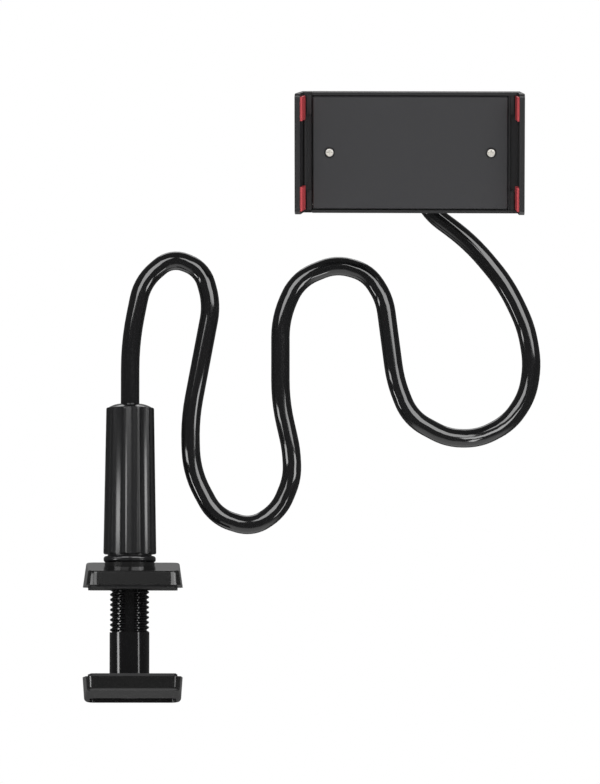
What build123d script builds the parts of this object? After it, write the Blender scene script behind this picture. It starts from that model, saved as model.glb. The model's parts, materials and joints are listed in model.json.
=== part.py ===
from build123d import *
import os
from math import atan2, cos, degrees, pi, radians, sin, tan

# Phone holder on a bendable neck with a screw clamp for a table edge.
# Millimetres, +Z up. The clamp's jaws reach towards -Y, where the user stands.
# The origin is on the column's axis, in the plane of the lower pad's gripping face.

# Clamp jaws and pads
clamp_opening = 42.0
clamp_travel_down = 36.0
jaw_width = 50.4
jaw_front_width = 46.4
jaw_shift = 1.7
jaw_front = 33.0
jaw_back = 14.0
jaw_corner = 5.5
jaw_wall = 6.8
jaw_slope = 7.5
lower_jaw_draft = 4.0
lower_jaw_round = 2.0
upper_jaw_draft = 8.0
upper_jaw_round = 1.0
pad_inset = 2.5
pad_show = 1.4
pad_seat = 1.6
pad_fit = 0.1
slot_width = 43.0
slot_front = 4.6
slot_back = 10.4
slot_round = 3.0
slot_floor = 2.6

# Column
column_d = 19.8
column_socket = 4.6
column_fit = 0.1
thread_d = 19.4
thread_depth = 1.1
thread_pitch = 2.5
thread_crest = 0.7
thread_base = 2.1
thread_sink = 0.5
thread_start = 20.8
keyway_width = 4.5
keyway_depth = 2.2
key_side_fit = 0.2
run_fit = 0.3
column_screw_d = 5.0
column_screw_head_d = 8.4
column_screw_head = 2.0
column_screw_reach = 14.0
screw_fit = 0.05

# Upper jaw
boss_d = 25.0
boss_lift = -0.7
flange_seat_fit = 0.5
shoulder = 5.2
key_plate_width = 38.0
key_plate_length = 28.0
key_plate_corner = 4.0
key_plate_thickness = 2.2
key_screw_spacing = 31.0
key_screw_d = 2.8
key_screw_head_d = 5.2
key_screw_head = 1.4
key_screw_reach = 6.0

# Handle
handle_length = 73.1
handle_d_bottom = 26.5
handle_d_top = 24.0
handle_end_round = 0.8
flute_count = 11
flute_first = -86.8
flute_radius = 7.0
flute_depth = 1.0
flange_d = 26.0
flange_thickness = 3.2
flange_round = 1.3
thrust_gap = 0.1
groove_height = 0.9
spigot_wall = 0.75
lip_reach = 1.0
lip_play = 0.4
spigot_slit = 1.2
nut_length = 14.0
cavity_fit = 0.5
cap_plug = 3.5
cap_wall = 0.6
cap_rise = 2.0
cap_hole_fit = 0.5
column_end_play = 1.0

# Neck
sleeve_d = 9.3
core_d = 6.0
sleeve_fit = 0.1
sleeve_socket = 12.0
core_socket = 34.0
pin_d = 3.0
pin_height = 20.0
bend_share = 0.45
neck_reach = 32.4

# Corners of the neck's route in the upright plane through the column, as X and Z
neck_corners = [
    (0.0, 166.0),
    (6.0, 196.0),
    (20.4, 208.5),
    (35.8, 202.5),
    (40.8, 185.0),
    (29.8, 126.5),
    (30.8, 100.5),
    (42.8, 78.5),
    (61.1, 73.0),
    (74.6, 82.0),
    (81.1, 98.0),
    (80.6, 112.0),
    (75.1, 136.0),
    (75.1, 178.0),
    (83.6, 197.5),
    (103.0, 205.5),
    (118.9, 201.0),
    (127.3, 188.0),
    (132.8, 146.0),
    (140.2, 128.0),
    (159.0, 118.0),
    (174.8, 118.0),
    (189.9, 126.0),
    (198.9, 139.4),
    (201.5, 155.5),
    (198.5, 174.0),
    (188.2, 195.6),
    (170.4, 216.8),
    (149.2, 232.4),
    (142.4, 250.6),
]

# Ball joint
head_yaw = 5.5
head_pitch = 11.0
head_roll = -0.5
stud_pitch = -8.0
ferrule_wall = 1.5
ferrule_cover = 12.0
ferrule_end = 3.0
ferrule_fit = 0.1
ferrule_round = 1.0
ball_d = 14.0
ball_fit = 0.1
ball_reach = 13.0
stud_d = 5.0
stud_collar_d = 9.0
stud_collar = 2.0
shank_d = 4.0
shank_length = 11.0
shank_fit = 0.05
cup_d = 20.0
cup_rim = 3.0
cup_taper = 2.0
cup_taper_in = 1.6
cup_slit = 1.2
cup_slit_depth = 7.0
socket_flange_d = 31.0
socket_flange = 4.0
socket_screw_spacing = 24.4
socket_screw_d = 2.6
socket_screw_head_d = 5.0
socket_screw_head = 1.6
socket_screw_reach = 3.4
nut_d = 26.0
nut_back = 5.0
nut_front = 6.0
nut_hole_d = 16.4
nut_hole_flare = 0.6
nut_grip_count = 18
nut_grip_r = 1.3
nut_grip_depth = 0.7
nut_edge = 0.8

# Head, measured out from the ball's centre along the head's facing direction
tray_back = 11.0
tray_floor = 2.0
tray_depth = 11.0
tray_half_width = 48.0
tray_height = 59.0
strip = 1.4
panel_gap = 0.6
panel_thickness = 2.0
panel_side_gap = 0.3
panel_bevel = 0.5
panel_corner = 1.0
panel_screw_inset = 8.5
panel_screw_d = 2.3
panel_screw_hole_fit = 0.3
panel_screw_head_d = 3.9
panel_screw_recess_d = 5.4
panel_screw_head = 1.2
panel_screw_reach = 5.0
cross_width = 0.8
cross_length = 2.7
cross_depth = 0.8
post_d = 7.0
rail = 2.1
wall_height = 22.0
wall_outer_reach = 5.2
wall_flare = 2.8
lip_thickness = 2.6
wall_inner_reach = 4.3
wall_corner = 2.0
jaw_floor_drop = 2.0
end_gap = 0.25
rib_width = 0.6
seat_width = 2.3
fixed_seat_width = 1.8
seat_length = 9.5
seat_height = 1.7
seat_from_end = 1.2
ridge_width = 1.8
ridge_height = 1.2
ridge_round = 0.8
ridge_end_gap = 0.3

# Sliding jaw and springs
slide_fit = 0.4
slide_thickness = 3.0
slide_end_gap = 2.4
slide_middle_gap = 9.2
slide_web = 3.0
spring_offset = 15.0
spring_slot = 6.0
spring_slot_lead = 1.7
spring_d = 4.6
spring_wire = 0.7
spring_turns = 10
spring_level = 4.4
spring_length = 28.5
peg_d = 2.4
peg_height = 2.8
anchor_inset = 4.5
anchor_height = 5.6
hook_fit = 0.15

# Red grips
grip_length = 11.8
grip_from_end = 1.6
grip_base_thickness = 1.2
grip_front_thickness = 1.1
grip_lift = 1.0
grip_short = 0.7
grip_round = 0.4

# Derived heights of the clamp
jaw_length = jaw_front + jaw_back
rise = tan(radians(jaw_slope))
jaw_back_height = jaw_wall + jaw_length * rise
lower_rim = -pad_show
lower_seat = lower_rim - pad_seat
column_bottom = lower_seat - column_socket
slot_ceiling = column_bottom - slot_floor
upper_rim = clamp_opening + pad_show
upper_seat = upper_rim + pad_seat
key_plate_top = upper_seat + key_plate_thickness
boss_top = upper_rim + jaw_wall + (jaw_front + boss_d / 2) * rise + boss_lift
shoulder_z = boss_top - shoulder
flange_bottom = boss_top + thrust_gap
flange_top = flange_bottom + flange_thickness
handle_bottom = flange_top + groove_height
handle_top = handle_bottom + handle_length
column_top = handle_top - cap_plug - clamp_travel_down - column_end_play

# Derived radii of the clamp
column_r = column_d / 2
thread_root_r = thread_d / 2 - thread_depth
thread_flank = (thread_base - thread_crest) / 2 / thread_depth
keyway_floor_r = column_r - keyway_depth
clear_r = column_r + run_fit
spigot_r = clear_r + spigot_wall
lip_r = spigot_r + lip_reach
cavity_r = column_r + cavity_fit
cap_r = cavity_r + cap_wall
neck_hole_r = sleeve_d / 2 + cap_hole_fit


def facing(origin, yaw, pitch, roll):
    normal = Vector(
        -sin(radians(yaw)) * cos(radians(pitch)),
        -cos(radians(yaw)) * cos(radians(pitch)),
        -sin(radians(pitch)),
    )
    level = Vector(cos(radians(yaw)), -sin(radians(yaw)), 0)
    upward = normal.cross(level)
    across = level * cos(radians(roll)) + upward * sin(radians(roll))
    return Plane(origin=origin, x_dir=across, z_dir=normal)


# Neck route, from inside the column to the ferrule behind the head
last_corner = Vector(neck_corners[-1][0], 0, neck_corners[-1][1])
neck_end = last_corner + facing((0, 0, 0), head_yaw, stud_pitch, 0).z_dir * neck_reach


def neck_points(start):
    corners = [Vector(x, 0, z) for x, z in neck_corners]
    return [Vector(0, 0, start)] + corners + [neck_end]


def bend_radii(points):
    radii = []
    for before, corner, after in zip(points, points[1:], points[2:]):
        arriving = corner - before
        leaving = after - corner
        turn = radians(arriving.get_angle(leaving))
        radii.append(bend_share * min(arriving.length, leaving.length) / tan(turn / 2))
    return radii


stud_plane = facing(neck_end, head_yaw, stud_pitch, 0)
ball_along = ferrule_end + ball_reach
ball_centre = neck_end + stud_plane.z_dir * ball_along
head_plane = facing(ball_centre, head_yaw, head_pitch, head_roll)
head_section = Plane(origin=ball_centre, x_dir=head_plane.x_dir, z_dir=head_plane.y_dir * -1)
head_axis = Axis(ball_centre, head_plane.z_dir)
head_side = Axis(ball_centre, head_plane.x_dir)
head_up = Axis(ball_centre, head_plane.y_dir)

# Derived levels of the head
floor_level = tray_back + tray_floor
tray_front = tray_back + tray_depth
panel_back = tray_front - panel_thickness
slide_bottom = floor_level + slide_fit
slide_top = slide_bottom + slide_thickness
half_height = tray_height / 2
panel_half_height = half_height - strip - panel_gap
panel_half_width = tray_half_width - panel_side_gap
channel_half = half_height - strip - rail
jaw_floor = tray_front - jaw_floor_drop
wall_front = tray_back + wall_height
wall_outer_base = tray_half_width + wall_outer_reach
wall_inner_base = tray_half_width + wall_inner_reach
lip_outer = wall_outer_base + wall_flare
lip_inner = lip_outer - lip_thickness
inner_lean = (lip_inner - wall_inner_base) / (wall_front - jaw_floor)
ridge_length = tray_height - 2 * (grip_from_end + grip_length + ridge_end_gap)
panel_screw_spacing = 2 * (tray_half_width - panel_screw_inset)
anchor_x = tray_half_width - anchor_inset
peg_x = anchor_x - spring_length
spring_axis = floor_level + spring_level

os.makedirs("parts", exist_ok=True)


# Plan of both clamp jaws, wider at the back and set a little to the right of the column
with BuildSketch() as jaw_plan:
    with BuildLine():
        Polyline(
            (jaw_shift - jaw_front_width / 2, -jaw_front),
            (jaw_shift + jaw_front_width / 2, -jaw_front),
            (jaw_shift + jaw_width / 2, jaw_back),
            (jaw_shift - jaw_width / 2, jaw_back),
            close=True,
        )
    make_face()
    fillet(jaw_plan.vertices(), jaw_corner)


def jaw_blank(rim, side, draft, edge_round):
    # Wedge that is thin at the front, with its outer edges rounded
    with BuildPart() as blank:
        with BuildSketch(Plane.XY.offset(rim)):
            add(jaw_plan.sketch)
        extrude(amount=jaw_back_height + 1, dir=(0, 0, side), taper=draft)
        slope_front = rim + side * (jaw_wall - rise)
        slope_back = rim + side * (jaw_back_height + rise)
        beyond = rim + side * (jaw_back_height + jaw_length)
        with BuildSketch(Plane.YZ):
            with BuildLine():
                Polyline(
                    (-jaw_front - 1, slope_front),
                    (jaw_back + 1, slope_back),
                    (jaw_back + 1, beyond),
                    (-jaw_front - 1, beyond),
                    close=True,
                )
            make_face()
        extrude(amount=jaw_width, both=True, mode=Mode.SUBTRACT)
        outer_face = blank.faces().sort_by(Axis.Z)[-1 if side > 0 else 0]
        fillet(outer_face.edges(), edge_round)
        with BuildSketch(Plane.XY.offset(rim)):
            add(jaw_plan.sketch)
            offset(amount=-pad_inset)
        extrude(amount=side * pad_seat, mode=Mode.SUBTRACT)
    return blank.part


def jaw_pad(face, side):
    # Soft pad that fills the seat and stands out of it
    with BuildPart() as pad:
        with BuildSketch(Plane.XY.offset(face)):
            add(jaw_plan.sketch)
            offset(amount=-pad_inset - pad_fit)
            Circle(clear_r, mode=Mode.SUBTRACT)
        extrude(amount=side * (pad_show + pad_seat))
    return pad.part


def key_tab(inner, outer, width):
    # Tab on the back of the column's bore
    with Locations((0, (inner + outer) / 2)):
        Rectangle(width, outer - inner)


def key_screw_circles(radius):
    with Locations((-key_screw_spacing / 2, 0), (key_screw_spacing / 2, 0)):
        Circle(radius)


# Lower jaw with a socket for the column and a slot in its underside for the screw
with BuildPart() as lower_jaw:
    add(jaw_blank(lower_rim, -1, lower_jaw_draft, lower_jaw_round))
    with BuildSketch(Plane.XY.offset(lower_seat)):
        Circle(column_r + column_fit)
        key_tab(keyway_floor_r + column_fit, column_r + 1, keyway_width - 2 * column_fit)
    extrude(amount=-column_socket, mode=Mode.SUBTRACT)
    with BuildSketch(Plane.XY.offset(column_bottom)):
        key_tab(keyway_floor_r + column_fit, column_r + 1, keyway_width - 2 * column_fit)
    extrude(amount=column_socket)
    with BuildSketch(Plane.XY.offset(slot_ceiling)):
        with Locations((jaw_shift, (slot_back - slot_front) / 2)):
            RectangleRounded(slot_width, slot_front + slot_back, slot_round)
    extrude(amount=-jaw_back_height, mode=Mode.SUBTRACT)
    with BuildSketch(Plane.XY.offset(column_bottom)):
        Circle(column_screw_d / 2 + screw_fit)
    extrude(amount=-slot_floor, mode=Mode.SUBTRACT)
lower_jaw.part.label = "lower_jaw"
export_step(lower_jaw.part, "parts/lower_jaw.step")

with BuildPart() as lower_jaw_pad:
    add(jaw_pad(0, -1))
lower_jaw_pad.part.label = "lower_jaw_pad"
export_step(lower_jaw_pad.part, "parts/lower_jaw_pad.step")

# Column with a coarse thread above the smooth part
with BuildPart() as clamp_column:
    with BuildSketch(Plane.XY.offset(column_bottom)):
        Circle(column_r)
    extrude(amount=thread_start - column_bottom)
    with BuildSketch(Plane.XY.offset(thread_start)):
        Circle(thread_root_r)
    extrude(amount=column_top - thread_start)
    with BuildLine():
        thread_line = Helix(
            pitch=thread_pitch,
            height=column_top - thread_start,
            radius=thread_root_r - thread_sink,
            center=(0, 0, thread_start - thread_pitch),
        )
    with BuildSketch(Plane(origin=thread_line @ 0, x_dir=(1, 0, 0), z_dir=thread_line % 0)):
        with BuildLine():
            Polyline(
                (0, -thread_base / 2 - thread_sink * thread_flank),
                (thread_sink + thread_depth, -thread_crest / 2),
                (thread_sink + thread_depth, thread_crest / 2),
                (0, thread_base / 2 + thread_sink * thread_flank),
                close=True,
            )
        make_face()
    sweep(path=thread_line, is_frenet=True)
    with BuildSketch(Plane.XY.offset(column_bottom)):
        key_tab(keyway_floor_r, column_r + 1, keyway_width)
    extrude(amount=column_top - column_bottom, mode=Mode.SUBTRACT)
    with BuildSketch(Plane.XY.offset(thread_start)):
        with Locations(Rot(0, 0, 180)):
            key_tab(keyway_floor_r, column_r + 1, keyway_width)
    extrude(amount=column_top - thread_start, mode=Mode.SUBTRACT)
    with BuildSketch(Plane.XY.offset(column_top)):
        Circle(sleeve_d / 2 + sleeve_fit)
    extrude(amount=-sleeve_socket, mode=Mode.SUBTRACT)
    with BuildSketch(Plane.XY.offset(column_top - sleeve_socket)):
        Circle(core_d / 2 + sleeve_fit)
    extrude(amount=-core_socket, mode=Mode.SUBTRACT)
    with BuildSketch(Plane.XY.offset(column_bottom)):
        Circle(column_screw_d / 2 + screw_fit)
    extrude(amount=column_screw_reach, mode=Mode.SUBTRACT)
    with BuildSketch(Plane.YZ):
        with Locations((0, column_top - sleeve_socket - pin_height)):
            Circle(pin_d / 2 + screw_fit)
    extrude(amount=column_d, both=True, mode=Mode.SUBTRACT)
clamp_column.part.label = "clamp_column"
export_step(clamp_column.part, "parts/clamp_column.step")

with BuildPart() as column_screw:
    with BuildSketch(Plane.XY.offset(slot_ceiling)):
        Circle(column_screw_head_d / 2)
    extrude(amount=-column_screw_head)
    fillet(column_screw.edges().sort_by(Axis.Z)[0], column_screw_head / 3)
    with BuildSketch(Plane.XY.offset(slot_ceiling)):
        Circle(column_screw_d / 2)
    extrude(amount=slot_floor + column_screw_reach - 1)
column_screw.part.label = "column_screw"
export_step(column_screw.part, "parts/column_screw.step")

# Upper jaw, which the handle's spigot carries and pushes
with BuildPart() as upper_jaw:
    add(jaw_blank(upper_rim, 1, upper_jaw_draft, upper_jaw_round))
    with BuildSketch(Plane.XY.offset(upper_seat)):
        Circle(boss_d / 2)
    extrude(amount=boss_top - upper_seat)
    with BuildSketch(Plane.XY.offset(boss_top)):
        Circle(flange_d / 2 + flange_seat_fit)
    extrude(amount=flange_thickness, mode=Mode.SUBTRACT)
    with BuildSketch(Plane.XY.offset(upper_seat)):
        RectangleRounded(key_plate_width, key_plate_length, key_plate_corner)
    extrude(amount=key_plate_thickness, mode=Mode.SUBTRACT)
    with BuildSketch(Plane.XY.offset(key_plate_top)):
        Circle(lip_r + run_fit)
    extrude(amount=shoulder_z - key_plate_top, mode=Mode.SUBTRACT)
    with BuildSketch(Plane.XY.offset(shoulder_z)):
        Circle(spigot_r + run_fit)
    extrude(amount=boss_top - shoulder_z, mode=Mode.SUBTRACT)
    with BuildSketch(Plane.XY.offset(key_plate_top)):
        key_screw_circles(key_screw_d / 2 + screw_fit)
    extrude(amount=key_screw_reach + screw_fit, mode=Mode.SUBTRACT)
upper_jaw.part.label = "upper_jaw"
export_step(upper_jaw.part, "parts/upper_jaw.step")

with BuildPart() as upper_jaw_pad:
    add(jaw_pad(clamp_opening, 1))
upper_jaw_pad.part.label = "upper_jaw_pad"
export_step(upper_jaw_pad.part, "parts/upper_jaw_pad.step")

# Plate whose tab runs in the back keyway and keeps the upper jaw from turning
with BuildPart() as key_plate:
    with BuildSketch(Plane.XY.offset(upper_seat)):
        RectangleRounded(
            key_plate_width - 2 * pad_fit,
            key_plate_length - 2 * pad_fit,
            key_plate_corner - pad_fit,
        )
        Circle(clear_r, mode=Mode.SUBTRACT)
        key_tab(keyway_floor_r + run_fit, clear_r + 1, keyway_width - 2 * key_side_fit)
    extrude(amount=key_plate_thickness)
    with BuildSketch(Plane.XY.offset(upper_seat)):
        key_screw_circles(key_screw_head_d / 2 + screw_fit)
    extrude(amount=key_screw_head, mode=Mode.SUBTRACT)
    with BuildSketch(Plane.XY.offset(upper_seat)):
        key_screw_circles(key_screw_d / 2 + screw_fit)
    extrude(amount=key_plate_thickness, mode=Mode.SUBTRACT)
key_plate.part.label = "key_plate"
export_step(key_plate.part, "parts/key_plate.step")

with BuildPart() as key_plate_screws:
    with BuildSketch(Plane.XY.offset(upper_seat)):
        key_screw_circles(key_screw_head_d / 2)
    extrude(amount=key_screw_head)
    with BuildSketch(Plane.XY.offset(upper_seat + key_screw_head)):
        key_screw_circles(key_screw_d / 2)
    extrude(amount=key_plate_thickness - key_screw_head + key_screw_reach)
key_plate_screws.part.label = "key_plate_screws"
export_step(key_plate_screws.part, "parts/key_plate_screws.step")


def edges_of_radius(turned, radius):
    # Round edges of a turned piece at one distance from its axis
    circles = turned.edges().filter_by(GeomType.CIRCLE)
    return circles.filter_by(lambda edge: abs(edge.radius - radius) < 0.01)


# Handle: fluted grip, groove, thrust flange and split spigot with a snap lip
spigot_bottom = key_plate_top + lip_play
lip_top = shoulder_z - lip_play
nut_top = handle_bottom + nut_length
flute_lean = degrees(atan2((handle_d_bottom - handle_d_top) / 2, handle_length))
flute_centre = (handle_d_bottom + handle_d_top) / 4 + flute_radius - flute_depth
with BuildPart() as handle:
    with BuildSketch(Plane.XZ):
        with BuildLine():
            Polyline(
                (clear_r, spigot_bottom),
                (lip_r, spigot_bottom),
                (lip_r, lip_top),
                (spigot_r, lip_top),
                (spigot_r, flange_bottom),
                (flange_d / 2, flange_bottom),
                (flange_d / 2, flange_top),
                (spigot_r, flange_top),
                (spigot_r, handle_bottom),
                (handle_d_bottom / 2, handle_bottom),
                (handle_d_top / 2, handle_top),
                (cavity_r, handle_top),
                (cavity_r, nut_top),
                (clear_r, nut_top),
                close=True,
            )
        make_face()
    revolve(axis=Axis.Z)
    fillet(edges_of_radius(handle, flange_d / 2), flange_round)
    fillet(edges_of_radius(handle, handle_d_bottom / 2), handle_end_round)
    fillet(edges_of_radius(handle, handle_d_top / 2), handle_end_round)
    with PolarLocations(0, flute_count, start_angle=flute_first):
        with Locations(Location((flute_centre, 0, (handle_bottom + handle_top) / 2), (0, -flute_lean, 0))):
            Cylinder(flute_radius, handle_length + groove_height, mode=Mode.SUBTRACT)
    with BuildSketch(Plane.XY.offset(spigot_bottom)):
        Rectangle(2 * lip_r + 2, spigot_slit)
        Rectangle(spigot_slit, 2 * lip_r + 2)
    extrude(amount=flange_bottom - spigot_bottom - 1, mode=Mode.SUBTRACT)
handle.part.label = "handle"
export_step(handle.part, "parts/handle.step")

with BuildPart() as handle_cap:
    with BuildSketch(Plane.XZ):
        with BuildLine():
            Polyline(
                (neck_hole_r, handle_top + cap_rise),
                (neck_hole_r, handle_top - cap_plug),
                (cavity_r - screw_fit, handle_top - cap_plug),
                (cavity_r - screw_fit, handle_top),
                (cap_r, handle_top),
            )
            ThreePointArc(
                (cap_r, handle_top),
                ((cap_r + neck_hole_r) / 2, handle_top + cap_rise * 0.7),
                (neck_hole_r, handle_top + cap_rise),
            )
        make_face()
    revolve(axis=Axis.Z)
handle_cap.part.label = "handle_cap"
export_step(handle_cap.part, "parts/handle_cap.step")

# Neck: a bendable rod inside a smooth sleeve
sleeve_start = column_top - sleeve_socket
core_start = sleeve_start - core_socket + screw_fit
pin_z = sleeve_start - pin_height
sleeve_points = neck_points(sleeve_start)
core_points = neck_points(core_start)
with BuildPart() as neck_sleeve:
    with BuildLine():
        sleeve_line = FilletPolyline(*sleeve_points, radius=bend_radii(sleeve_points))
    with BuildSketch(Plane.XY.offset(sleeve_start)):
        Circle(sleeve_d / 2)
        Circle(core_d / 2 + sleeve_fit, mode=Mode.SUBTRACT)
    sweep(path=sleeve_line)
neck_sleeve.part.label = "neck_sleeve"
export_step(neck_sleeve.part, "parts/neck_sleeve.step")

with BuildPart() as neck_core:
    with BuildLine():
        core_line = FilletPolyline(*core_points, radius=bend_radii(core_points))
    with BuildSketch(Plane.XY.offset(core_start)):
        Circle(core_d / 2)
    sweep(path=core_line)
    with BuildSketch(stud_plane):
        Circle(shank_d / 2 + shank_fit)
    extrude(amount=-shank_length - 1, mode=Mode.SUBTRACT)
    with BuildSketch(Plane.YZ):
        with Locations((0, pin_z)):
            Circle(pin_d / 2 + screw_fit)
    extrude(amount=core_d, both=True, mode=Mode.SUBTRACT)
neck_core.part.label = "neck_core"
export_step(neck_core.part, "parts/neck_core.step")

sleeve_section = pi / 4 * (sleeve_d**2 - (core_d + 2 * sleeve_fit) ** 2)
print("bend radii", [round(radius, 1) for radius in bend_radii(sleeve_points)])
print("neck length", round(sleeve_line.length, 1), "sleeve volume", round(neck_sleeve.part.volume, 1))
print("section times length", round(sleeve_section * sleeve_line.length, 1))

with BuildPart() as neck_pin:
    with BuildSketch(Plane.YZ):
        with Locations((0, pin_z)):
            Circle(pin_d / 2)
    extrude(amount=thread_root_r - run_fit, both=True)
neck_pin.part.label = "neck_pin"
export_step(neck_pin.part, "parts/neck_pin.step")

with BuildPart() as neck_ferrule:
    with BuildSketch(stud_plane.offset(-ferrule_cover)):
        Circle(sleeve_d / 2 + ferrule_fit + ferrule_wall)
    extrude(amount=ferrule_cover + ferrule_end)
    fillet(neck_ferrule.edges(), ferrule_round)
    with BuildSketch(stud_plane.offset(-ferrule_cover)):
        Circle(sleeve_d / 2 + ferrule_fit)
    extrude(amount=ferrule_cover, mode=Mode.SUBTRACT)
    with BuildSketch(stud_plane):
        Circle(shank_d / 2 + shank_fit)
    extrude(amount=ferrule_end, mode=Mode.SUBTRACT)
neck_ferrule.part.label = "neck_ferrule"
export_step(neck_ferrule.part, "parts/neck_ferrule.step")

with BuildPart() as ball_stud:
    with BuildSketch(stud_plane.offset(-shank_length)):
        Circle(shank_d / 2)
    extrude(amount=shank_length + ferrule_end)
    with BuildSketch(stud_plane.offset(ferrule_end)):
        RegularPolygon(stud_collar_d / 2, 6)
    extrude(amount=stud_collar)
    with BuildSketch(stud_plane.offset(ferrule_end + stud_collar)):
        Circle(stud_d / 2)
    extrude(amount=ball_reach - stud_collar)
    with Locations(stud_plane.offset(ball_along).location):
        Sphere(ball_d / 2)
ball_stud.part.label = "ball_stud"
export_step(ball_stud.part, "parts/ball_stud.step")

# Split cup behind the tray, closed on the ball by the nut
cup_r = cup_d / 2
cup_end = -cup_rim
socket_flange_back = tray_back - socket_flange
with BuildPart() as ball_socket:
    with BuildSketch(head_section):
        with BuildLine():
            Polyline(
                (0, tray_back),
                (socket_flange_d / 2, tray_back),
                (socket_flange_d / 2, socket_flange_back),
                (cup_r, socket_flange_back),
                (cup_r, cup_end + cup_taper),
                (cup_r - cup_taper_in, cup_end),
                (0, cup_end),
                close=True,
            )
        make_face()
    revolve(axis=head_axis)
    with Locations(head_plane.location):
        Sphere(ball_d / 2 + ball_fit, mode=Mode.SUBTRACT)
    with BuildSketch(head_plane.offset(cup_end)):
        Rectangle(cup_d + 1, cup_slit)
        Rectangle(cup_slit, cup_d + 1)
    extrude(amount=cup_slit_depth, mode=Mode.SUBTRACT)
    with BuildSketch(head_plane.offset(tray_back)):
        with GridLocations(socket_screw_spacing, 0, 2, 1):
            Circle(socket_screw_d / 2 + screw_fit)
    extrude(amount=-socket_screw_reach - screw_fit, mode=Mode.SUBTRACT)
ball_socket.part.label = "ball_socket"
export_step(ball_socket.part, "parts/ball_socket.step")

with BuildPart() as socket_screws:
    with BuildSketch(head_plane.offset(floor_level)):
        with GridLocations(socket_screw_spacing, 0, 2, 1):
            Circle(socket_screw_head_d / 2)
    extrude(amount=socket_screw_head)
    with BuildSketch(head_plane.offset(floor_level)):
        with GridLocations(socket_screw_spacing, 0, 2, 1):
            Circle(socket_screw_d / 2)
    extrude(amount=-tray_floor - socket_screw_reach)
socket_screws.part.label = "socket_screws"
export_step(socket_screws.part, "parts/socket_screws.step")

with BuildPart() as lock_nut:
    with BuildSketch(head_section):
        with BuildLine():
            Polyline(
                (cup_r + run_fit, nut_front),
                (nut_d / 2, nut_front),
                (nut_d / 2, -nut_back),
                (nut_hole_d / 2 + nut_hole_flare, -nut_back),
                (nut_hole_d / 2, cup_end - run_fit),
                (cup_r - cup_taper_in + run_fit, cup_end - run_fit),
                (cup_r + run_fit, cup_end + cup_taper - run_fit),
                close=True,
            )
        make_face()
    revolve(axis=head_axis)
    chamfer(edges_of_radius(lock_nut, nut_d / 2), nut_edge)
    with BuildSketch(head_plane.offset(-nut_back)):
        with PolarLocations(nut_d / 2 + nut_grip_r - nut_grip_depth, nut_grip_count):
            Circle(nut_grip_r)
    extrude(amount=nut_back + nut_front, mode=Mode.SUBTRACT)
lock_nut.part.label = "lock_nut"
export_step(lock_nut.part, "parts/lock_nut.step")


def end_wall(start, back, side):
    # Floor and outward-leaning wall of a holder jaw, in the head's section plane
    with BuildLine() as outline:
        Polyline(
            (side * start, back),
            (side * wall_outer_base, back),
            (side * lip_outer, wall_front),
            (side * lip_inner, wall_front),
            (side * wall_inner_base, jaw_floor),
            (side * start, jaw_floor),
            close=True,
        )
    make_face(outline.edges())


def corner_seats(middle, width):
    # Raised blocks beside the red grips
    with Locations((middle, 0)):
        with GridLocations(0, tray_height - 2 * seat_from_end - seat_length, 1, 2):
            Rectangle(width, seat_length)


# Tray with the fixed jaw at its right end
channel_middle = -0.5
channel_width = 2 * tray_half_width + 1
rib_end = tray_half_width + rib_width
with BuildPart() as head_tray:
    with BuildSketch(head_plane.offset(tray_back)):
        Rectangle(2 * tray_half_width, tray_height)
    extrude(amount=tray_depth)
    with BuildSketch(head_section):
        end_wall(tray_half_width, tray_back, 1)
    extrude(amount=half_height, both=True)
    wall_edges = head_tray.edges().filter_by(head_side).sort_by(head_axis)[-2:]
    fillet(wall_edges, wall_corner)
    with BuildSketch(head_plane.offset(jaw_floor)):
        strip_length = wall_inner_base - tray_half_width
        with Locations((tray_half_width + strip_length / 2, 0)):
            with GridLocations(0, tray_height - strip, 1, 2):
                Rectangle(strip_length, strip)
        with Locations(((tray_half_width + rib_end) / 2, 0)):
            Rectangle(rib_end - tray_half_width, tray_height)
    extrude(amount=jaw_floor_drop)
    with BuildSketch(head_plane.offset(jaw_floor)):
        corner_seats(rib_end + end_gap + fixed_seat_width / 2, fixed_seat_width)
    extrude(amount=seat_height)
    with BuildSketch(head_plane.offset(floor_level)):
        with Locations((channel_middle, 0)):
            Rectangle(channel_width, 2 * channel_half)
    extrude(amount=panel_back - floor_level, mode=Mode.SUBTRACT)
    with BuildSketch(head_plane.offset(panel_back)):
        with Locations((channel_middle, 0)):
            Rectangle(channel_width, 2 * (half_height - strip))
    extrude(amount=panel_thickness, mode=Mode.SUBTRACT)
    with BuildSketch(head_plane.offset(floor_level)):
        with GridLocations(panel_screw_spacing, 0, 2, 1):
            Circle(post_d / 2)
    extrude(amount=panel_back - floor_level)
    with BuildSketch(head_plane.offset(panel_back)):
        with GridLocations(panel_screw_spacing, 0, 2, 1):
            Circle(panel_screw_d / 2 + screw_fit)
    extrude(amount=-panel_screw_reach - screw_fit, mode=Mode.SUBTRACT)
    with BuildSketch(head_plane.offset(floor_level)):
        with Locations((anchor_x, spring_offset), (anchor_x, -spring_offset)):
            Circle(peg_d / 2)
    extrude(amount=anchor_height)
    with BuildSketch(head_plane.offset(floor_level)):
        with GridLocations(socket_screw_spacing, 0, 2, 1):
            Circle(socket_screw_d / 2 + screw_fit)
    extrude(amount=-tray_floor, mode=Mode.SUBTRACT)
head_tray.part.label = "head_tray"
export_step(head_tray.part, "parts/head_tray.step")

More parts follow.
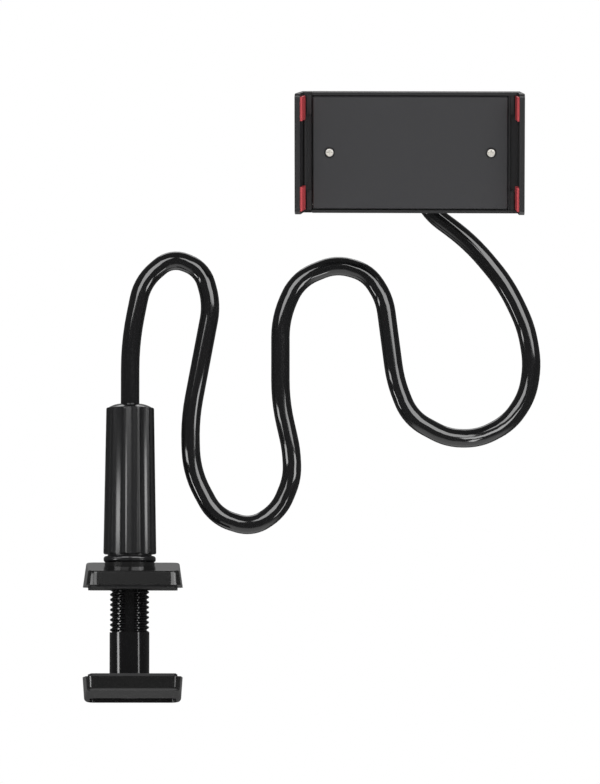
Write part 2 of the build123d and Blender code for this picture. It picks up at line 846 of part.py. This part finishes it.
screw_recess_floor = tray_front - panel_screw_head
with BuildPart() as front_panel:
    with BuildSketch(head_plane.offset(panel_back)):
        RectangleRounded(2 * panel_half_width, 2 * panel_half_height, panel_corner)
    extrude(amount=panel_thickness)
    chamfer(front_panel.faces().sort_by(head_axis)[-1].edges(), panel_bevel)
    with BuildSketch(head_plane.offset(screw_recess_floor)):
        with GridLocations(panel_screw_spacing, 0, 2, 1):
            Circle(panel_screw_recess_d / 2)
    extrude(amount=panel_screw_head, mode=Mode.SUBTRACT)
    with BuildSketch(head_plane.offset(panel_back)):
        with GridLocations(panel_screw_spacing, 0, 2, 1):
            Circle(panel_screw_d / 2 + panel_screw_hole_fit)
    extrude(amount=panel_thickness, mode=Mode.SUBTRACT)
front_panel.part.label = "front_panel"
export_step(front_panel.part, "parts/front_panel.step")

with BuildPart() as panel_screws:
    with BuildSketch(head_plane.offset(screw_recess_floor)):
        with GridLocations(panel_screw_spacing, 0, 2, 1):
            Circle(panel_screw_head_d / 2)
    extrude(amount=panel_screw_head)
    fillet(panel_screws.edges().group_by(head_axis)[-1], panel_screw_head / 3)
    with BuildSketch(head_plane.offset(screw_recess_floor)):
        with GridLocations(panel_screw_spacing, 0, 2, 1):
            Circle(panel_screw_d / 2)
    extrude(amount=panel_back - screw_recess_floor - panel_screw_reach)
    with BuildSketch(head_plane.offset(tray_front)):
        with GridLocations(panel_screw_spacing, 0, 2, 1):
            Rectangle(cross_length, cross_width)
            Rectangle(cross_width, cross_length)
    extrude(amount=-cross_depth, mode=Mode.SUBTRACT)
panel_screws.part.label = "panel_screws"
export_step(panel_screws.part, "parts/panel_screws.step")

# Left jaw with two arms that slide in the tray, joined by a web behind the gap
jaw_start = tray_half_width + end_gap
slide_reach = jaw_start + tray_half_width - slide_end_gap
slide_end = slide_reach - jaw_start
arm_inner = slide_middle_gap / 2
arm_outer = channel_half - slide_fit
slot_start = peg_x + spring_slot_lead
with BuildPart() as sliding_jaw:
    with BuildSketch(head_section):
        end_wall(jaw_start, tray_back + slide_fit, -1)
    extrude(amount=half_height, both=True)
    wall_edges = sliding_jaw.edges().filter_by(head_side).sort_by(head_axis)[-2:]
    fillet(wall_edges, wall_corner)
    with BuildSketch(head_plane.offset(jaw_floor)):
        corner_seats(-jaw_start - seat_width / 2, seat_width)
    extrude(amount=seat_height)
    with BuildSketch(head_plane.offset(jaw_floor)):
        with Locations((ridge_width / 2 - wall_inner_base, 0)):
            Rectangle(ridge_width, ridge_length)
    extrude(amount=ridge_height)
    ridge_edges = sliding_jaw.edges(Select.LAST).filter_by(head_up).sort_by(head_axis)[-2:]
    fillet(ridge_edges, ridge_round)
    with BuildSketch(head_plane.offset(slide_bottom)):
        for side in (-1, 1):
            with Locations(((slide_end - jaw_start) / 2 - 0.5, side * (arm_inner + arm_outer) / 2)):
                Rectangle(slide_end + jaw_start + 1, arm_outer - arm_inner)
            with Locations(((slot_start + slide_end) / 2 + 0.5, side * spring_offset)):
                Rectangle(slide_end - slot_start + 1, spring_slot, mode=Mode.SUBTRACT)
        with Locations((slide_web / 2 - jaw_start, 0)):
            Rectangle(slide_web + 1, slide_middle_gap + 1)
    extrude(amount=slide_thickness)
    with BuildSketch(head_plane.offset(slide_top)):
        with Locations((peg_x, spring_offset), (peg_x, -spring_offset)):
            Circle(peg_d / 2)
    extrude(amount=peg_height)
sliding_jaw.part.label = "sliding_jaw"
export_step(sliding_jaw.part, "parts/sliding_jaw.step")


def jaw_spring(side):
    # Coil with a ring at each end, round the arm's peg and the tray's peg
    ring_r = peg_d / 2 + hook_fit + spring_wire / 2
    coil_r = (spring_d - spring_wire) / 2
    level = head_plane.offset(spring_axis)
    coil_start = peg_x + ring_r + spring_wire
    coil_end = anchor_x - ring_r - spring_wire
    with BuildPart() as spring:
        with BuildLine():
            coil = Helix(
                pitch=(coil_end - coil_start) / spring_turns,
                height=coil_end - coil_start,
                radius=coil_r,
                center=level.from_local_coords((coil_start, side * spring_offset, 0)),
                direction=head_plane.x_dir,
            )
        with BuildSketch(Plane(origin=coil @ 0, z_dir=coil % 0)):
            Circle(spring_wire / 2)
        sweep(path=coil, is_frenet=True)
        for peg, coil_tip, reach in ((peg_x, coil @ 0, ring_r), (anchor_x, coil @ 1, -ring_r)):
            ring_edge = level.from_local_coords((peg + reach, side * spring_offset, 0))
            with BuildLine():
                lead = Line(ring_edge, coil_tip)
            with BuildSketch(Plane(origin=ring_edge, z_dir=lead % 0)):
                Circle(spring_wire / 2)
            sweep(path=lead)
            with Locations(coil_tip):
                Sphere(0.6 * spring_wire)
            with Locations(level.location * Pos(peg, side * spring_offset, 0)):
                Torus(ring_r, spring_wire / 2)
    return spring.part


for name, side in (("jaw_spring_upper", 1), ("jaw_spring_lower", -1)):
    with BuildPart() as one_spring:
        add(jaw_spring(side))
    one_spring.part.label = name
    export_step(one_spring.part, f"parts/{name}.step")


def red_grip(side, end):
    # Soft wedge on the inner face of a jaw's wall
    base = jaw_floor + grip_lift
    front = wall_front - grip_short
    base_x = wall_inner_base + inner_lean * grip_lift
    front_x = lip_inner - inner_lean * grip_short
    low = half_height - grip_from_end - grip_length
    with BuildPart() as grip:
        with BuildSketch(head_section.offset(-end * low)):
            with BuildLine():
                Polyline(
                    (side * base_x, base),
                    (side * front_x, front),
                    (side * (front_x - grip_front_thickness), front),
                    (side * (base_x - grip_base_thickness), base),
                    close=True,
                )
            make_face()
        extrude(amount=-end * grip_length)
        inner_face = grip.faces().sort_by(head_side)[0 if side > 0 else -1]
        fillet(inner_face.edges(), grip_round)
    return grip.part


for name, side, end in (
    ("grip_left_upper", -1, 1),
    ("grip_left_lower", -1, -1),
    ("grip_right_upper", 1, 1),
    ("grip_right_lower", 1, -1),
):
    with BuildPart() as one_grip:
        add(red_grip(side, end))
    one_grip.part.label = name
    export_step(one_grip.part, f"parts/{name}.step")
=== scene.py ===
import bmesh
import bpy
import json
import math
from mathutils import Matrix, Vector


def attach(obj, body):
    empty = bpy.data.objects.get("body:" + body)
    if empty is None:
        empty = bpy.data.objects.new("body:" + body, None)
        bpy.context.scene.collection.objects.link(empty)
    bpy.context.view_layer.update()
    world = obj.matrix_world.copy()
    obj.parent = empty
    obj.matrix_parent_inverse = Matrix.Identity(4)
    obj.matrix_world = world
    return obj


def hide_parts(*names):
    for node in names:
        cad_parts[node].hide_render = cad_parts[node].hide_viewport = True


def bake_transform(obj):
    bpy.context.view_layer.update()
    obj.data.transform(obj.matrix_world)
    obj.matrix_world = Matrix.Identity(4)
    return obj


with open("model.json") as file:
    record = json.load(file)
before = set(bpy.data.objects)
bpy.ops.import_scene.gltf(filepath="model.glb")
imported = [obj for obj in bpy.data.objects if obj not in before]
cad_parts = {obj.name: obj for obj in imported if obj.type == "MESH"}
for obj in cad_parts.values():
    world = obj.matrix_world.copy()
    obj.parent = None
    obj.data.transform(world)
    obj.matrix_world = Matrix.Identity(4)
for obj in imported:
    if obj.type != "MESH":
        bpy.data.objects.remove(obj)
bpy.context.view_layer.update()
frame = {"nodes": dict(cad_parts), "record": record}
nodes = frame["nodes"]
behaviour = frame["record"]["behaviour"]
mmPerMetre = 1000
print("frame loaded:", len(nodes), "nodes")


def linearColour(hexColour):
    channels = [int(hexColour[i:i + 2], 16) / 255 for i in (1, 3, 5)]
    return [c / 12.92 if c <= 0.04045 else ((c + 0.055) / 1.055) ** 2.4 for c in channels] + [1.0]


def addNode(tree, kind, values=(), links=(), **settings):
    node = tree.nodes.new(kind)
    for name, value in settings.items():
        setattr(node, name, value)
    for socket, value in dict(values).items():
        node.inputs[socket].default_value = value
    for socket, source in dict(links).items():
        tree.links.new(source, node.inputs[socket])
    return node


grainTexture = {"detail": 2.0, "roughness": 0.6}


def plainFinish(name, look):
    material = bpy.data.materials.new(name)
    material.use_nodes = True
    tree = material.node_tree
    shader = tree.nodes["Principled BSDF"]
    shader.inputs["Base Color"].default_value = linearColour(look["colour"])
    shader.inputs["Roughness"].default_value = look["roughness"]
    shader.inputs["Metallic"].default_value = look.get("metallic", 0.0)
    shader.inputs["IOR"].default_value = look.get("ior", 1.5)
    if "grainMm" in look:  # moulded grain, as a bump of its own real size
        place = addNode(tree, "ShaderNodeTexCoord")
        grain = addNode(
            tree, "ShaderNodeTexNoise",
            {
                "Scale": mmPerMetre / look["grainMm"],
                "Detail": grainTexture["detail"],
                "Roughness": grainTexture["roughness"],
            },
            {"Vector": place.outputs["Object"]},
        )
        bump = addNode(
            tree, "ShaderNodeBump",
            {"Strength": 1.0, "Distance": look["grainDepthMm"] / mmPerMetre},
            {"Height": grain.outputs["Fac"]},
        )
        tree.links.new(bump.outputs["Normal"], shader.inputs["Normal"])
    return material


bodyOf = {node: body for body, members in behaviour["bodies"].items() for node in members}
shown = dict(nodes)  # the object that shows each node, to be painted below
smoothing = {"sharpAngle": 28, "mergeMm": 0.002}


def mergedCopy(name):
    mesh = nodes[name].data.copy()
    if "custom_normal" in mesh.attributes:
        mesh.attributes.remove(mesh.attributes["custom_normal"])
    shape = bmesh.new()
    shape.from_mesh(mesh)
    bmesh.ops.remove_doubles(shape, verts=shape.verts, dist=smoothing["mergeMm"] / mmPerMetre)
    for face in shape.faces:
        face.smooth = True
    for edge in shape.edges:
        edge.smooth = edge.calc_face_angle(0) < math.radians(smoothing["sharpAngle"])
    shape.to_mesh(mesh)
    shape.free()
    piece = bpy.data.objects.new(name + "Smooth", mesh)
    bpy.context.scene.collection.objects.link(piece)
    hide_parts(name)
    shown[name] = piece
    return piece


def smoothCopy(name):
    piece = mergedCopy(name)
    # keeps flats flat beside rounded edges
    evened = piece.modifiers.new("evenedNormals", "WEIGHTED_NORMAL")
    evened.keep_sharp = True
    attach(piece, bodyOf[name])


def stretchCopy(name):
    piece = mergedCopy(name)
    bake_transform(piece)


curvedNodes = [  # rounded pieces whose shine needs smooth shading
    "neck_sleeve", "clamp_column", "handle", "handle_cap", "lower_jaw", "upper_jaw",
    "lower_jaw_pad", "upper_jaw_pad", "neck_ferrule", "ball_stud", "ball_socket", "lock_nut",
    "head_tray", "sliding_jaw", "front_panel", "panel_screws", "grip_left_upper",
    "grip_left_lower", "grip_right_upper", "grip_right_lower", "column_screw",
]
for name in curvedNodes:
    smoothCopy(name)
print("smooth copies:", len(curvedNodes))

# the springs are shown by merged, smooth-shaded copies baked in place
for name in ("jaw_spring_upper", "jaw_spring_lower"):
    stretchCopy(name)


def paint(material, *names):
    for name in names:
        slots = shown[name].data.materials
        slots.clear()
        slots.append(material)


# ABS, lightly textured mould: deep black with clear reflections in its rounded corners
mouldedLook = {
    "colour": "#171717", "roughness": 0.16, "ior": 1.47, "grainMm": 0.5, "grainDepthMm": 0.002,
}
mouldedAbs = plainFinish("mouldedAbs", mouldedLook)
paint(mouldedAbs, "lower_jaw", "upper_jaw", "ball_socket", "lock_nut", "key_plate")

# ABS, etched mould: the holder's body, greyer and duller than the clamp
trayLook = {
    "colour": "#262627", "roughness": 0.36, "ior": 1.5, "grainMm": 0.5, "grainDepthMm": 0.003,
}
etchedAbs = plainFinish("etchedAbs", trayLook)
paint(etchedAbs, "head_tray", "sliding_jaw")

# ABS, polished mould: the column's smooth part shows the lamps as narrow stripes
columnLook = {"colour": "#0c0c0d", "roughness": 0.12, "ior": 1.5}
polishedAbs = plainFinish("polishedAbs", columnLook)
paint(polishedAbs, "clamp_column", "neck_ferrule")

# ABS, satin mould: the handle's flutes carry soft upright gradients
handleLook = {"colour": "#161617", "roughness": 0.18, "ior": 1.62}
satinAbs = plainFinish("satinAbs", handleLook)
paint(satinAbs, "handle", "handle_cap")

# Plasticised PVC, extruded: wet-looking black with sharp highlights
sleeveLook = {"colour": "#0f0f10", "roughness": 0.08, "ior": 1.65}
extrudedPvc = plainFinish("extrudedPvc", sleeveLook)
paint(extrudedPvc, "neck_sleeve")

# Moulded rubber: dull dark grey without reflections
padLook = {
    "colour": "#202021", "roughness": 0.7, "ior": 1.52, "grainMm": 0.6, "grainDepthMm": 0.01,
}
mouldedRubber = plainFinish("mouldedRubber", padLook)
paint(mouldedRubber, "lower_jaw_pad", "upper_jaw_pad")

# ABS, fine matte mould: even dark grey
panelLook = {
    "colour": "#2b2b2d", "roughness": 0.5, "ior": 1.5, "grainMm": 0.6, "grainDepthMm": 0.003,
}
matteAbs = plainFinish("matteAbs", panelLook)
paint(matteAbs, "front_panel")

# Silicone, moulded: saturated red with a satin skin
gripLook = {"colour": "#b04045", "roughness": 0.45, "ior": 1.41}
redSilicone = plainFinish("redSilicone", gripLook)
paint(redSilicone, "grip_left_upper", "grip_left_lower", "grip_right_upper", "grip_right_lower")

# Nickel-plated steel, barrel plated: bright and slightly warm
screwLook = {"colour": "#f0ede6", "roughness": 0.56, "metallic": 1.0}
platedNickel = plainFinish("platedNickel", screwLook)
paint(platedNickel, "panel_screws", "key_plate_screws", "socket_screws", "neck_pin")

# Steel, coloured near black as painted shade: the screw head in the slot under the lower jaw stays
# dark, without a glint
shadedScrewLook = {"colour": "#1c1c1d", "roughness": 0.45, "metallic": 1.0}
shadeDarkSteel = plainFinish("shadeDarkSteel", shadedScrewLook)
paint(shadeDarkSteel, "column_screw")

# Chromed steel, polished: mirror-like ball
ballLook = {"colour": "#c9c9cb", "roughness": 0.12, "metallic": 1.0}
polishedChrome = plainFinish("polishedChrome", ballLook)
paint(polishedChrome, "ball_stud")

# Spring steel, drawn wire: grey metal with a soft shine
springLook = {"colour": "#a8a8aa", "roughness": 0.3, "metallic": 1.0}
drawnSteel = plainFinish("drawnSteel", springLook)
paint(drawnSteel, "jaw_spring_upper", "jaw_spring_lower")

# Aluminium, drawn rod: pale grey metal
coreLook = {"colour": "#cfcfd1", "roughness": 0.35, "metallic": 1.0}
drawnAluminium = plainFinish("drawnAluminium", coreLook)
paint(drawnAluminium, "neck_core")
print("materials set:", len(bpy.data.materials))


def direction(azimuth, elevation):
    a, e = math.radians(azimuth), math.radians(elevation)
    return Vector((math.sin(a) * math.cos(e), -math.cos(a) * math.cos(e), math.sin(e)))


def aim(item, place, target):
    item.location = place
    item.rotation_mode = "QUATERNION"
    item.rotation_quaternion = (Vector(target) - place).to_track_quat("-Z", "Y")


cameraView = {  # lengths in metres, the lens in millimetres
    "azimuth": -2.5, "elevation": -4.2, "target": (0.0849, 0.0, 0.141), "distance": 2.5,
    "lens": 229.6, "clipEnd": 20,
}
camera = bpy.data.objects.new("camera", bpy.data.cameras.new("camera"))
bpy.context.scene.collection.objects.link(camera)
camera.data.lens = cameraView["lens"]
camera.data.clip_end = cameraView["clipEnd"]
toCamera = direction(cameraView["azimuth"], cameraView["elevation"])
aim(camera, Vector(cameraView["target"]) + toCamera * cameraView["distance"], cameraView["target"])
bpy.context.scene.camera = camera
print("camera set")

lamps = {  # where they stand, their size in metres and their brightness
    "leftBox": {
        "azimuth": -25, "elevation": 26.5, "distance": 1.6, "size": (0.92, 0.84), "glow": 4.7,
    },
    "rightBox": {
        "azimuth": 27, "elevation": 23, "distance": 1.6, "size": (1.20, 0.88), "glow": 4.6,
    },
    "rearBox": {  # lights the back without a line on the front's edges
        "azimuth": 172, "elevation": 38, "distance": 1.6, "size": (1.30, 0.80), "glow": 6.0,
        "mirrored": False,
    },
    "rearStrip": {
        "azimuth": 180, "elevation": 48, "distance": 1.6, "size": (1.20, 0.45), "glow": 2.2,
    },
    "leftStrip": {  # the two strips draw the highlights of the column
        "azimuth": -67, "elevation": 0, "distance": 0.25, "size": (0.055, 0.090), "glow": 9,
        "target": (0, 0, -0.002),
    },
    "rightStrip": {
        "azimuth": 54, "elevation": 0, "distance": 0.25, "size": (0.030, 0.090), "glow": 6,
        "target": (0, 0, -0.002),
    },
    "leftBoard": {  # the two boards draw those of the handle
        "azimuth": -57, "elevation": 0, "distance": 0.25, "size": (0.14, 0.034), "glow": 6.0,
        "target": (0, 0, 0.098),
    },
    "rightBoard": {
        "azimuth": 54, "elevation": 0, "distance": 0.25, "size": (0.08, 0.051), "glow": 6.0,
        "target": (0, 0, 0.107),
    },
}
for name, lamp in lamps.items():
    light = bpy.data.lights.new(name, "AREA")
    light.shape = "RECTANGLE"
    light.size, light.size_y = lamp["size"]
    light.energy = lamp["glow"] * math.pi * light.size * light.size_y
    holder = bpy.data.objects.new(name, light)
    holder.visible_camera = False
    holder.visible_glossy = lamp.get("mirrored", True)
    bpy.context.scene.collection.objects.link(holder)
    target = lamp.get("target", cameraView["target"])
    toLamp = direction(lamp["azimuth"], lamp["elevation"])
    aim(holder, Vector(target) + toLamp * lamp["distance"], target)
print("lamps set:", len(lamps))

# Paper, coated: matte and nearly white under the clamp
floorLook = {
    "colour": "#f2f2f2", "roughness": 0.8, "whiteShare": 0.75,
    "radius": 1.2, "corners": 96, "place": (0.085, 0, -0.12),
}
white = linearColour("#ffffff")
bpy.ops.mesh.primitive_circle_add(
    vertices=floorLook["corners"], radius=floorLook["radius"], fill_type="NGON",
)
floor = bpy.context.object
floor.name = "floor"
floor.location = floorLook["place"]
paperFloor = plainFinish("paperFloor", floorLook)
paperTree = paperFloor.node_tree
paperRays = addNode(paperTree, "ShaderNodeLightPath")
paperShare = addNode(
    paperTree, "ShaderNodeMath", {1: floorLook["whiteShare"]},
    {0: paperRays.outputs["Is Camera Ray"]},
    operation="MULTIPLY",
)
paperWhite = addNode(paperTree, "ShaderNodeEmission", {"Color": white, "Strength": 1.0})
paperShader = paperTree.nodes["Principled BSDF"]
paperMix = addNode(  # the camera sees nearly white paper that keeps the shadow
    paperTree, "ShaderNodeMixShader", {},
    {0: paperShare.outputs[0], 1: paperShader.outputs[0], 2: paperWhite.outputs[0]},
)
paperTree.links.new(paperMix.outputs[0], paperTree.nodes["Material Output"].inputs["Surface"])
floor.data.materials.append(paperFloor)
floor.visible_glossy = False
print("floor set")

studio = {  # brightnesses, and where the mirrored ones change over
    "background": 1.0, "fill": 0.12, "dim": 0.11, "rear": 0.28,
    "fadeLow": -0.85, "fadeHigh": -0.6,
    "rearDirection": (0.0, 0.8, 0.6), "rearLow": 0.75, "rearHigh": 0.95,
}
world = bpy.data.worlds.new("studio")
bpy.context.scene.world = world
world.use_nodes = True
tree = world.node_tree
tree.nodes.clear()
rays = addNode(tree, "ShaderNodeLightPath")
place = addNode(tree, "ShaderNodeTexCoord")
split = addNode(tree, "ShaderNodeSeparateXYZ", {}, {"Vector": place.outputs["Generated"]})
backing = addNode(  # how far a mirrored ray points up and back
    tree, "ShaderNodeVectorMath", {1: studio["rearDirection"]}, {0: place.outputs["Generated"]},
    operation="DOT_PRODUCT",
)
depth = addNode(  # the backdrop above is a little lighter than the room in front
    tree, "ShaderNodeMapRange",
    {
        "From Min": studio["rearLow"], "From Max": studio["rearHigh"],
        "To Min": studio["dim"], "To Max": studio["rear"],
    },
    {"Value": backing.outputs["Value"]},
    interpolation_type="SMOOTHSTEP",
)
fade = addNode(  # white paper straight below the object, dim studio around it
    tree, "ShaderNodeMapRange",
    {
        "From Min": studio["fadeLow"], "From Max": studio["fadeHigh"],
        "To Min": studio["background"],
    },
    {"Value": split.outputs["Z"], "To Max": depth.outputs["Result"]},
    interpolation_type="SMOOTHSTEP",
)
mirrored = addNode(
    tree, "ShaderNodeMath", {},
    {0: rays.outputs["Is Glossy Ray"], 1: rays.outputs["Is Transmission Ray"]},
    operation="MAXIMUM",
)
unseen = addNode(
    tree, "ShaderNodeMix", {"A": studio["fill"]},
    {"Factor": mirrored.outputs[0], "B": fade.outputs["Result"]},
    data_type="FLOAT",
)
seen = addNode(
    tree, "ShaderNodeMix", {"B": studio["background"]},
    {"Factor": rays.outputs["Is Camera Ray"], "A": unseen.outputs[0]},
    data_type="FLOAT",
)
backdrop = addNode(
    tree, "ShaderNodeBackground", {"Color": white}, {"Strength": seen.outputs[0]},
)
addNode(tree, "ShaderNodeOutputWorld", {}, {"Surface": backdrop.outputs["Background"]})
print("studio set")

bpy.context.scene.view_settings.view_transform = "Standard"
print("scene ready")
